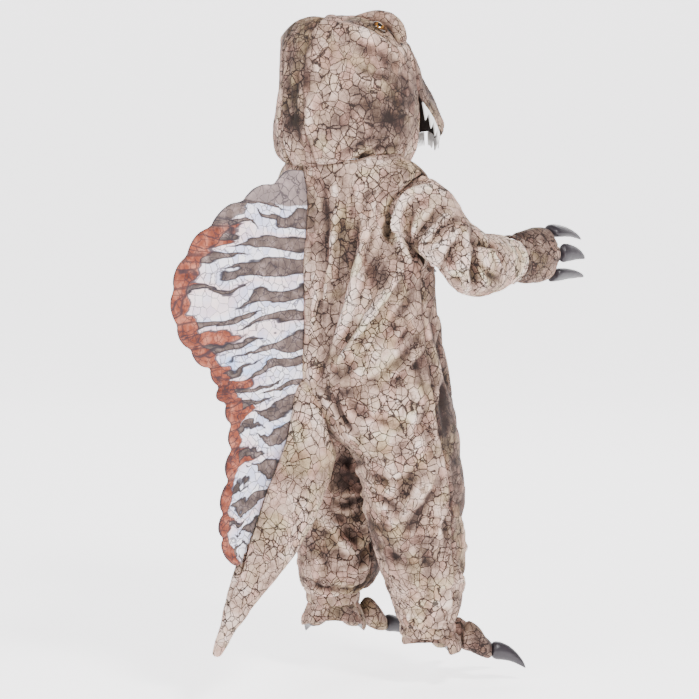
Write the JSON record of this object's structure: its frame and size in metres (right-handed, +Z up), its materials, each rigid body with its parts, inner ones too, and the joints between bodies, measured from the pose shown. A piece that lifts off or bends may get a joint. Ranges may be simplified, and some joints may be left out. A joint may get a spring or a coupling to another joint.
{
  "type": "dinosaur costume",
  "caption": "Child's hooded dinosaur jumpsuit, held in its worn shape with nobody in it, with a scalloped back sail and a stuffed tail.",
  "frame": {"origin": "between the shoulders, in the middle of the body, where the wearer holds the costume up", "axes": "+Z up, the wearer faces -Y, +X to the wearer's left"},
  "size_m": [0.4258, 0.6606, 0.98],
  "materials": {
    "print": "printed velour",
    "sail": "printed velour",
    "felt": "felt",
    "claw": "coated cloth with a satin sheen",
    "eye": "gloss"
  },
  "bodies": {
    "root": {"back_left": "print", "back_right": "print", "front_left": "print", "front_right": "print", "front_placket": "print", "sleeve_left": "print", "sleeve_right": "print", "wrist_casing_left": "print", "wrist_casing_right": "print", "hand_cover_left": "print", "hand_cover_right": "print", "hand_claw_left_1": "claw", "hand_claw_left_2": "claw", "hand_claw_left_3": "claw", "hand_claw_right_1": "claw", "hand_claw_right_2": "claw", "hand_claw_right_3": "claw", "hood_left": "print", "hood_right": "print", "hood_gusset": "print", "upper_jaw": "print", "teeth_left": "felt", "teeth_right": "felt", "brow_left": "print", "brow_right": "print", "eye_left": "eye", "eye_right": "eye", "sail": "sail", "tail_left": "print", "tail_right": "print", "ankle_casing_left": "print", "ankle_casing_right": "print", "foot_flap_left": "print", "foot_flap_right": "print", "toe_left_1": "print", "toe_left_2": "print", "toe_left_3": "print", "toe_right_1": "print", "toe_right_2": "print", "toe_right_3": "print", "foot_claw_left_1": "claw", "foot_claw_left_2": "claw", "foot_claw_left_3": "claw", "foot_claw_right_1": "claw", "foot_claw_right_2": "claw", "foot_claw_right_3": "claw"}
  },
  "joints": []
}
